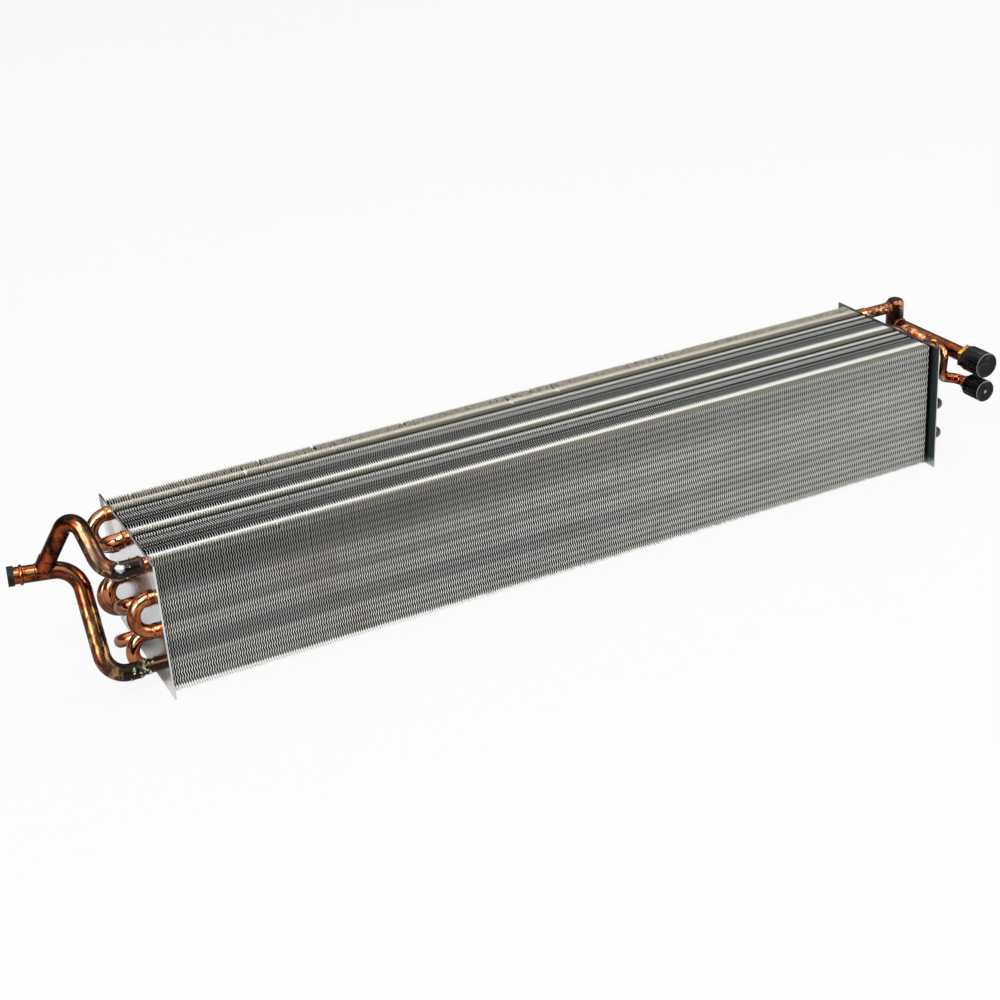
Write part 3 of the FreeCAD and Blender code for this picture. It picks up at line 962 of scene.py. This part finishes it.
def ruffle(verts: Iterable, grain: float, depth: float, shift: float) -> None:
    """Moves vertices in and out by noise, so that a ring or lump looks run and set.

    Args:
        verts: the vertices.
        grain: the size of the noise's waves, in metres.
        depth: how far a vertex moves at most, in metres.
        shift: moves the pattern along X, in waves.
    """
    for vert in verts:
        vert.co += noise.noise_vector(vert.co / grain + Vector((shift, 0, 0))) * depth


def closed(mesh: bmesh.types.BMesh) -> bmesh.types.BMesh:
    """Merges doubles and turns all faces outwards.

    Args:
        mesh: the bmesh, which is changed in place.

    Returns:
        The same bmesh.
    """
    bmesh.ops.remove_doubles(mesh, verts=mesh.verts, dist=1e-7)
    bmesh.ops.recalc_face_normals(mesh, faces=mesh.faces)
    return mesh


@dataclass
class FinBlock:
    """The pack of corrugated sheets and the collars that hold them on the tubes.

    Every sheet leans a little, and one in several is knocked where things have rubbed along the
    upper edges: knocks holds the depths at which that happens.
    """

    sheets: int = 349
    folds: int = 20
    fold_depth: float = 0.5
    hem: float = 2.2
    ripple_depth: float = 0.48
    sheet_wall: float = 0.32
    hem_wall: float = 0.4
    collar_radius: float = 5.05
    collar_sides: int = 20
    foot: float = 0.3
    ragged: float = 0.8
    lean: float = 0.05
    knocked_share: float = 0.14
    knocks: tuple[float, ...] = (-50.0, 44.0, 49.0, 52.0, 54.0, 54.0)
    front_push: float = 0.3
    back_push: float = 0.6
    knock_reach: float = 7.0
    knock_from: float = 0.97
    knock_drop: float = 0.6
    dent_seed: int = 11

    def fold(self, y: float) -> float:
        """How far the corrugation moves a sheet along X at a depth y, in millimetres."""
        phase = (y - LAYOUT.front) / (LAYOUT.back - LAYOUT.front) * self.folds
        return self.fold_depth * (1 - 2 * abs(phase % 2 - 1))

    def ripple(self, z: float) -> float:
        """How far the rippled edge stands to the side at a height z, in millimetres."""
        phase = z / LAYOUT.ripple_period * 2
        return self.ripple_depth * (2 * abs(phase % 2 - 1) - 1)

    def strip(
        self, columns: list[float], rows: list[float], wall: float, rippled: bool
    ) -> bmesh.types.BMesh:
        """One sheet or one strip of a sheet.

        Args:
            columns: the depths y of its columns of vertices, in millimetres.
            rows: the heights z of its rows of vertices, in millimetres.
            wall: its thickness, in millimetres.
            rippled: whether it carries the ripple.

        Returns:
            The strip at X = 0, as a closed thin solid.
        """
        mesh = bmesh.new()
        bmesh.ops.create_grid(mesh, x_segments=len(columns) - 1, y_segments=len(rows) - 1, size=0.5)
        for vert in mesh.verts:
            y = columns[round((vert.co.x + 0.5) * (len(columns) - 1))]
            z = rows[round((vert.co.y + 0.5) * (len(rows) - 1))]
            aside = self.ripple(z) if rippled else 0.0
            vert.co = metres(self.fold(y) + aside, y, z)
        bmesh.ops.recalc_face_normals(mesh, faces=mesh.faces)
        bmesh.ops.solidify(mesh, geom=mesh.faces[:], thickness=wall * MM)
        bmesh.ops.recalc_face_normals(mesh, faces=mesh.faces)
        return mesh

    def bend(self, verts: list, dice: random.Random) -> None:
        """Knocks a few sheets out of line near their upper edge.

        Args:
            verts: the vertices of one sheet or strip.
            dice: the seeded source of chance.
        """
        lean = dice.gauss(0, self.lean) * MM
        knocked = dice.random() < self.knocked_share
        where = dice.choice(self.knocks) * MM
        push = dice.gauss(0, self.front_push if where < 0 else self.back_push) * MM
        ragged = dice.uniform(0.0, self.ragged) * MM
        for vert in verts:
            rise = vert.co.z / (LAYOUT.height * MM)
            vert.co.x += lean * rise
            if vert.co.z < 2 * self.foot * MM:
                vert.co.z += ragged
            near = abs(vert.co.y - where) < self.knock_reach * MM
            if knocked and near and rise > self.knock_from:
                vert.co.x += push
                vert.co.z -= abs(push) * self.knock_drop

    def repeat(self, mesh: bmesh.types.BMesh) -> bmesh.types.BMesh:
        """Sets a copy of one sheet's shape at every fin's place, each a little different.

        Args:
            mesh: the shape at X = 0; it becomes the last sheet.

        Returns:
            All the sheets in one bmesh.
        """
        dice = random.Random(self.dent_seed)
        half = (self.sheets - 1) / 2
        template = mesh.verts[:] + mesh.edges[:] + mesh.faces[:]
        for index in range(self.sheets - 1):
            copy = bmesh.ops.duplicate(mesh, geom=template)["geom"]
            verts = [item for item in copy if isinstance(item, bmesh.types.BMVert)]
            shift = metres((index - half) * LAYOUT.fin_pitch, 0, 0)
            bmesh.ops.translate(mesh, verts=verts, vec=shift)
            self.bend(verts, dice)
        verts = [item for item in template if isinstance(item, bmesh.types.BMVert)]
        bmesh.ops.translate(mesh, verts=verts, vec=metres(half * LAYOUT.fin_pitch, 0, 0))
        return mesh

    def rippled_rows(self) -> list[float]:
        """The heights at which the rippled edge turns.

        Returns:
            The heights in millimetres, from the foot to the upper edge.
        """
        step = LAYOUT.ripple_period / 2
        count = int(LAYOUT.height // step)
        return [self.foot] + [index * step for index in range(1, count + 1)] + [LAYOUT.height]

    def build(self) -> None:
        """Makes the sheets, their rippled front and back hems, and the collars."""
        metal = FinSheet("fin_aluminium").make()
        front, back = LAYOUT.front, LAYOUT.back
        inner_front, inner_back = front + self.hem, back - self.hem
        step = (back - front) / self.folds
        columns = [front + step * index for index in range(self.folds + 1)]
        columns = [min(max(y, inner_front), inner_back) for y in columns]
        sheet = self.strip(columns, [self.foot, LAYOUT.height], self.sheet_wall, False)
        sheets = finished("fin_sheets", self.repeat(sheet), metal, smooth=False)
        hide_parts("fin_pack")
        hems = {"fin_front_hems": (front, inner_front), "fin_back_hems": (back, inner_back)}
        for name, (outer, inner) in hems.items():
            shape = self.strip(sorted((outer, inner)), self.rippled_rows(), self.hem_wall, True)
            finished(name, self.repeat(shape), metal, smooth=False)
        self.collars()

    def collars(self) -> None:
        """Makes the collars of all fins on each tube as one long sleeve with seams."""
        mesh = bmesh.new()
        length = (self.sheets - 1) * LAYOUT.fin_pitch * MM
        radius = self.collar_radius * MM
        lying = Matrix.Rotation(math.pi / 2, 4, "Y")
        for row, level in LAYOUT.places():
            bmesh.ops.create_cone(
                mesh, cap_ends=True, segments=self.collar_sides, depth=length, radius1=radius,
                radius2=radius, matrix=Matrix.Translation(LAYOUT.spot(row, level, 0)) @ lying,
            )
        finished("fin_collars", closed(mesh), Collar("collar_aluminium").make())


@dataclass
class EndPlates:
    """The two bright sheet-metal plates that carry the tubes."""

    right_shadow: float = 0.95
    left_shadow: float = 0.35

    def build(self) -> None:
        """Gives both plates their finish."""
        # painted shade under the tubes' exits, and a painted dark reflection at the upper back
        # corner
        zones = (
            Zone((-319, 62, 98), 12, StainAndLight.SMOKE, 0.9),
            Zone((-319, 44, 84), 13, StainAndLight.SMOKE, 0.45),
            Zone((-319, -40, 78), 12, StainAndLight.SMOKE, 0.6),
            Zone((-319, -44, 12), 10, StainAndLight.SMOKE, 0.4),
        )
        left = SheetMetal(
            "left_plate_metal", light=srgb(250, 250, 250), grey=srgb(206, 208, 208), side=-1,
            shadow=self.left_shadow, zones=zones,
        )
        right = SheetMetal("right_plate_metal", shadow=self.right_shadow)
        dress(left.make(), "left_end_plate")
        dress(right.make(), "right_end_plate")


@dataclass
class TubeBends:
    """Hairpins, return bends, and the solder rings where the bends enter the tubes' bells."""

    count: int = 9
    bell_end: float = -321.0
    bell_radius: float = 5.36
    ring_length: float = 1.3
    ring_steps: int = 24
    bend_places: tuple[tuple[int, int], ...] = (
        (0, 1), (0, 2), (1, 0), (1, 1), (1, 2), (2, 1), (1, 3), (2, 2), (2, 0), (3, 0),
        (2, 3), (3, 3), (3, 1), (3, 2), (4, 0), (4, 1), (4, 2), (4, 3),
    )

    def build(self) -> None:
        """Dresses the bends and adds the solder rings."""
        zones = (
            Zone((-327, -44.5, 19), 17, StainAndLight.BURNT_AND_DARK_REFLECTION, 0.95),
            Zone((-322, -40, 97), 4, StainAndLight.BURNT_AND_DARK_REFLECTION, 0.8),
            # painted dark reflection on the hairpin tips at the right
            Zone((331, -38, 36), 26, StainAndLight.BURNT_AND_DARK_REFLECTION, 0.9),
            Zone((331, -38, 62), 22, StainAndLight.BURNT_AND_DARK_REFLECTION, 0.9),
        )
        # both coppers carry the painted highlight and shade; the bends a paler, stronger highlight
        tube = Copper("drawn_copper", tarnish=0.5, soot=0.25, zones=zones)
        bend = Copper(
            "bent_copper", bright=srgb(214, 132, 84), brown=srgb(102, 48, 26), tarnish=0.5,
            painted_highlight=srgb(252, 206, 166), soot=0.32, gloss=0.1, streaks=0.3, highlight_strength=0.65,
        )
        hairpins = [f"hairpin_tube_{index + 1}" for index in range(self.count)]
        dress(tube.make(), "suction_tube", "liquid_tube", *hairpins)
        dress(bend.make(), *[f"return_bend_{index + 1}" for index in range(self.count)])
        self.rings()

    def rings(self) -> None:
        """Makes the ring of solder at each of the bends' ends."""
        inside = LAYOUT.tube_radius - 0.1
        outline = [
            (0.0, inside),
            (0.0, self.bell_radius + 0.05),
            (self.ring_length * 0.35, self.bell_radius - 0.12),
            (self.ring_length * 0.7, LAYOUT.tube_radius + 0.22),
            (self.ring_length, inside),
        ]
        mesh = bmesh.new()
        for place in self.bend_places:
            spot = LAYOUT.spot(*place, self.bell_end)
            ring = turned(mesh, spot, Vector((-1, 0, 0)), outline, self.ring_steps)
            ruffle(ring, 2.2 * MM, 0.18 * MM, spot.y * 900)
        solder = Crust("bend_solder", srgb(178, 104, 62), srgb(70, 36, 22), metal=0.9, rough=0.2)
        finished("bend_solder_rings", closed(mesh), solder.make())


@dataclass
class Fork:
    """The crossover with its branch, plug, and the crusts at both soldered mouths.

    One crumb in branch_every lies at the branch's mouth, and the others at the crossover's.
    Pairs of numbers for crumbs are a middle and a spread, or the least and the most.
    """

    mouth: Point = (-334.5, -44.5, 19.05)
    branch_mouth: Point = (-322.0, -44.5, 95.25)
    fork_radius: float = 6.0
    crust_steps: int = 36
    crumb_count: int = 56
    branch_every: int = 7
    crumbs_along: tuple[float, float] = (-333, 3.5)
    crumbs_stop: float = -342
    branch_crumbs_along: tuple[float, float] = (-338, -327)
    crumb_turn: tuple[float, float] = (2.5, 1.1)
    crumb_size: tuple[float, float] = (0.25, 0.85)
    seed: int = 5

    def zones(self) -> tuple[Zone, ...]:
        """Lists the stains and painted highlights on the fork's copper.

        Returns:
            The marked places round its two joints and up its legs.
        """
        return (
            Zone((-338, -47, 19), 21, StainAndLight.BURNT_AND_DARK_REFLECTION, 1.0),
            Zone((-348, -42, 33), 10, StainAndLight.BURNT_AND_DARK_REFLECTION, 0.7),
            Zone((-358, -34, 40), 32, StainAndLight.BURNT_AND_DARK_REFLECTION, 0.45),
            Zone((-356, -50, 21), 9, StainAndLight.GOLDEN, 0.5),
            Zone((-361, -38, 37), 12, StainAndLight.GOLDEN, 0.45),
            Zone((-361, -27, 56), 12, StainAndLight.GOLDEN, 0.45),
            Zone((-333, -47, 95), 14, StainAndLight.BURNT_AND_DARK_REFLECTION, 1.0),
            # painted highlights on the branch near its mouth
            Zone((-347, -48, 97), 10, StainAndLight.PALE_HIGHLIGHT, 0.6),
            Zone((-337, -50, 99.5), 3.4, StainAndLight.WHITE_HIGHLIGHT, 1.0),
            Zone((-351, -37, 106), 13, StainAndLight.SMOKE, 0.85),
            Zone((-353, -30, 114), 9, StainAndLight.GOLDEN, 0.4),
        )

    def build(self) -> None:
        """Dresses the fork and adds the crusts and crumbs at its joints."""
        # the fork carries strong painted shade and a weaker painted highlight
        copper = Copper(
            "fork_copper", bright=srgb(184, 90, 46), brown=srgb(72, 29, 15), dark=srgb(22, 11, 8),
            tarnish=0.7, soot=0.5, gloss=0.1, shade_strength=0.8, highlight_strength=0.35, zones=self.zones(),
        )
        dress(copper.make(), "crossover_tube", "branch_tube")
        dress(Plastic("plug_rubber", gloss=0.4).make(), "port_plug")
        burnt = Crust("burnt_solder", srgb(56, 42, 32), srgb(14, 11, 10), metal=0.5, rough=0.25)
        solder = burnt.make()
        self.mouth_crust("crossover_solder", Vector(self.mouth), solder)
        self.mouth_crust("branch_solder", Vector(self.branch_mouth), solder)
        self.crumbs()

    def mouth_crust(self, name: str, mouth: Vector, material: bpy.types.Material) -> None:
        """A lumpy ring that fills the step between the fork's mouth and the tube.

        Args:
            name: the ring's name.
            mouth: the middle of the open mouth, in millimetres.
            material: its finish.
        """
        mesh = bmesh.new()
        outline = [
            (-1.6, self.fork_radius - 0.3),
            (-1.2, self.fork_radius + 0.35),
            (0.2, self.fork_radius + 0.3),
            (1.2, LAYOUT.tube_radius + 0.65),
            (2.0, LAYOUT.tube_radius - 0.1),
            (0.0, LAYOUT.tube_radius - 0.1),
        ]
        ring = turned(mesh, mouth * MM, Vector((1, 0, 0)), outline, self.crust_steps)
        ruffle(ring, 3 * MM, 0.4 * MM, mouth.z)
        finished(name, closed(mesh), material)

    def crumbs(self) -> None:
        """Small lumps of set flux on the tubes round both joints."""
        dice = random.Random(self.seed)
        mesh = bmesh.new()
        for index in range(self.crumb_count):
            if index % self.branch_every:
                mouth = Vector(self.mouth)
                x = max(dice.gauss(*self.crumbs_along), self.crumbs_stop)
            else:
                mouth = Vector(self.branch_mouth)
                x = dice.uniform(*self.branch_crumbs_along)
            reach = self.fork_radius if x < mouth.x else LAYOUT.tube_radius
            turn = dice.gauss(*self.crumb_turn)
            spot = metres(x, mouth.y + reach * math.cos(turn), mouth.z + reach * math.sin(turn))
            size = dice.uniform(*self.crumb_size) * MM
            place = Matrix.Translation(spot)
            bmesh.ops.create_icosphere(mesh, subdivisions=2, radius=size, matrix=place)
            # the earlier lumps are moved again each time, which makes them ragged flakes
            ruffle(mesh.verts, size * 1.2, size * 0.5, index)
        flux = Crust("set_flux", srgb(224, 224, 178), srgb(64, 62, 36), metal=0.0).make()
        finished("flux_crumbs", closed(mesh), flux)


@dataclass
class Joint:
    """A braze fillet round a tube where it enters another piece, in millimetres."""

    name: str
    spot: Point
    axis: Point
    radius: float
    length: float = 2.4
    height: float = 1.0
    yellow: bool = False


@dataclass
class RightSide:
    """Header, suction line, liquid run, fittings and caps, with their brazed joints."""

    joints: tuple[Joint, ...] = (
        Joint("stub_braze", (352.9, 43.5, 95.25), (-1, 0, 0), LAYOUT.tube_radius),
        Joint("line_braze", (360.0, 36.4, 80.05), (0, -1, 0), 6.0),
        Joint(
            "strainer_braze", (345.6, -24.0, 86.45), (0, -1, 0), 3.175, length=3.0, height=1.2,
            yellow=True,
        ),
    )
    fillet_steps: int = 32

    def zones(self) -> tuple[Zone, ...]:
        """Lists the stains and the painted highlight on the right side's copper lines.

        Returns:
            The marked places at the brazed joints and where the lines were worked hot, and the
            painted highlight on the strainer.
        """
        return (
            # painted highlight on the strainer
            Zone((345, -4, 90), 13, StainAndLight.PALE_HIGHLIGHT, 0.95),
            Zone((345, 9, 88), 5, StainAndLight.FLUX, 0.8),
            Zone((360, 30, 80), 8, StainAndLight.BURNT_AND_DARK_REFLECTION, 0.5),
            Zone((341.5, -40, 63), 4.2, StainAndLight.FLUX, 0.7),
            Zone((345.6, -28, 88), 9, StainAndLight.BURNT_AND_DARK_REFLECTION, 0.7),
            Zone((345, -38, 76), 7, StainAndLight.BURNT_AND_DARK_REFLECTION, 0.5),
        )

    def build(self) -> None:
        """Dresses the nodes and adds the braze fillets."""
        # each copper carries the painted highlight and shade; the header's highlight is weaker
        header = Copper(
            "header_copper", bright=srgb(226, 158, 124), brown=srgb(70, 36, 24), tarnish=0.7,
            soot=0.65, gloss=0.1, crinkle=3.0 * MM, crinkle_size=4.5 * MM, streaks=0.8,
            highlight_strength=0.3,
        )
        line = Copper(
            "line_copper", bright=srgb(188, 92, 40), brown=srgb(98, 42, 16), tarnish=0.5,
            soot=0.35, gloss=0.12, zones=self.zones(),
        )
        worked = Copper(
            "worked_copper", bright=srgb(214, 126, 78), brown=srgb(88, 38, 20), tarnish=0.55,
            soot=0.5, gloss=0.1, crinkle=1.2 * MM, crinkle_size=5.0 * MM, streaks=0.7,
            zones=self.zones(),
        )
        dress(header.make(), "suction_header")
        dress(line.make(), "suction_line", "strainer", "liquid_line")
        dress(worked.make(), "liquid_elbow", "thin_tube")
        dress(Brass("fitting_brass").make(), "suction_fitting", "liquid_fitting")
        rims = tuple(self.face(cap) for cap in ("suction_cap", "liquid_cap"))
        dimple = tuple(rims[1][0])
        dress(Plastic("cap_plastic", rims=rims, dimple=dimple).make(), "suction_cap", "liquid_cap")
        self.fillets()

    def face(self, cap: str) -> tuple[Vector, float]:
        """The middle of a cap's round front face, and the cap's radius.

        Args:
            cap: the name of the cap's node.

        Returns:
            The point, in metres, and the radius.
        """
        corners = [Vector(corner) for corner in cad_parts[cap].bound_box]
        low = Vector(map(min, zip(*corners)))
        high = Vector(map(max, zip(*corners)))
        middle = (low + high) / 2
        return Vector((middle.x, low.y, middle.z)), (high.x - low.x) / 2

    def fillets(self) -> None:
        """Makes the fillets round the brazed tubes."""
        yellow = Crust(
            "yellow_braze", srgb(226, 186, 96), srgb(140, 92, 40), metal=0.8, rough=0.3
        ).make()
        brown = Crust(
            "brown_braze", srgb(150, 86, 50), srgb(58, 30, 18), metal=0.8, rough=0.3
        ).make()
        for joint in self.joints:
            material = yellow if joint.yellow else brown
            mesh = bmesh.new()
            outline = [
                (-0.4, joint.radius - 0.1),
                (-0.4, joint.radius + joint.height),
                (joint.length * 0.3, joint.radius + joint.height * 0.45),
                (joint.length, joint.radius - 0.1),
            ]
            spot, axis = metres(*joint.spot), Vector(joint.axis)
            ring = turned(mesh, spot, axis, outline, self.fillet_steps)
            ruffle(ring, 3 * MM, 0.22 * MM, joint.spot[2])
            finished(joint.name, closed(mesh), material)


@dataclass(frozen=True)
class Lamp:
    """A square soft lamp: its place, its side in metres and its power in watts."""

    name: str
    place: Point
    width: float
    power: float


@dataclass(frozen=True)
class SoftBox:
    """A bright round patch of the surroundings that only mirrors see.

    aim is the way to it, light its strength, and outer and inner are the cosines of the angles
    from aim at which it starts and is full.
    """

    aim: Point
    light: float
    outer: float
    inner: float


@dataclass
class Studio:
    """Floor, soft lamps, pale surroundings and the camera at the photograph's angle.

    sky is the strength of the light from all round. Mirrors see dim surroundings with a ceiling,
    which starts at one height and is full at another, and the soft boxes.
    """

    position: Point = (-0.551951, -1.096468, 0.644292)
    look: Point = (0.371707, 0.814026, -0.446313)
    up: Point = (0.254006, 0.373235, 0.892287)
    lens: float = 65.01
    sensor: float = 36.0
    near: float = 0.01
    shift: tuple[float, float] = (0.016344, 0.005768)
    target: Point = (0, 0, 0.05)
    floor_size: float = 40.0
    floor_drop: float = 0.2 * MM
    sky: float = 0.5
    dim: float = 0.12
    ceiling: tuple[float, float] = (0.35, 0.75)
    ceiling_light: float = 1.0
    boxes: tuple[SoftBox, ...] = (
        SoftBox((-0.8, -0.5, 0.35), 2.2, 0.9, 0.95),
        SoftBox((-0.75, -0.5, 0.42), 7.0, 0.97, 0.985),
        SoftBox((0.85, -0.35, 0.35), 1.8, 0.9, 0.95),
        SoftBox((-0.1, -0.3, 0.95), 6.0, 0.975, 0.985),
    )
    lamps: tuple[Lamp, ...] = (
        Lamp("key_lamp", (-1.1, -1.3, 1.7), 0.6, 28.0),
        Lamp("fill_lamp", (1.5, -1.2, 1.3), 0.7, 16.0),
        Lamp("top_lamp", (0.1, 0.6, 2.0), 1.0, 10.0),
    )

    def build(self) -> None:
        """Sets the whole stage."""
        self.floor()
        self.world()
        for lamp in self.lamps:
            self.hang(lamp)
        self.camera()
        bpy.context.scene.view_settings.view_transform = "Standard"

    def floor(self) -> None:
        """Lays the floor just under the coil."""
        mesh = bmesh.new()
        bmesh.ops.create_grid(mesh, x_segments=1, y_segments=1, size=self.floor_size / 2)
        bmesh.ops.translate(mesh, verts=mesh.verts, vec=(0, 0, -self.floor_drop))
        data = bpy.data.meshes.new("floor")
        mesh.to_mesh(data)
        mesh.free()
        data.materials.append(Floor().make())
        floor = bpy.data.objects.new("floor", data)
        bpy.context.scene.collection.objects.link(floor)

    def world(self) -> None:
        """Surrounds the coil with pale light; the camera sees white and mirrors see soft boxes."""
        world = bpy.data.worlds.new("studio")
        bpy.context.scene.world = world
        graph = Graph(world, "Generated")
        glow = self.dim + graph.z.rise(*self.ceiling) * self.ceiling_light
        for box in self.boxes:
            facing = graph.along(graph.spot, Vector(box.aim).normalized())
            glow = glow + facing.rise(box.outer, box.inner) * box.light
        path = graph.node("ShaderNodeLightPath").socket.node
        eye = Value(graph, path.outputs["Is Camera Ray"])
        mirror = Value(graph, path.outputs["Is Glossy Ray"])
        strength = (glow * mirror + (1 - mirror) * self.sky) * (1 - eye) + eye
        white = {"Color": (1, 1, 1, 1), "Strength": strength}
        shown = graph.node("ShaderNodeBackground", None, white)
        output = graph.tree.nodes["World Output"]
        graph.tree.links.new(shown.socket, output.inputs["Surface"])

    def hang(self, lamp: Lamp) -> None:
        """Hangs one lamp so that it faces the coil.

        Args:
            lamp: its sizes and its place.
        """
        data = bpy.data.lights.new(lamp.name, "AREA")
        data.shape = "SQUARE"
        data.size = lamp.width
        data.energy = lamp.power
        hung = bpy.data.objects.new(lamp.name, data)
        hung.location = lamp.place
        aim = Vector(self.target) - Vector(lamp.place)
        hung.rotation_euler = aim.to_track_quat("-Z", "Y").to_euler()
        bpy.context.scene.collection.objects.link(hung)

    def camera(self) -> None:
        """Sets the camera where the photograph was taken from."""
        data = bpy.data.cameras.new("camera")
        data.lens = self.lens
        data.sensor_width = self.sensor
        data.shift_x, data.shift_y = self.shift
        data.clip_start = self.near
        camera = bpy.data.objects.new("camera", data)
        back = -Vector(self.look).normalized()
        upward = Vector(self.up)
        upward = (upward - back * upward.dot(back)).normalized()
        right = upward.cross(back)
        turn = Matrix((right, upward, back)).transposed().to_4x4()
        camera.matrix_world = Matrix.Translation(self.position) @ turn
        bpy.context.scene.collection.objects.link(camera)
        bpy.context.scene.camera = camera


def main() -> None:
    """Builds the looks in order."""
    logging.basicConfig(level=logging.INFO, format="%(message)s")
    # unseeded, the noise that ruffles would start from the clock
    noise.seed_set(NOISE_SEED)
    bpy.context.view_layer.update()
    Studio().build()
    for assembly in (FinBlock(), EndPlates(), TubeBends(), Fork(), RightSide()):
        log.info("building %s", type(assembly).__name__)
        assembly.build()


if __name__ == "__main__":
    main()
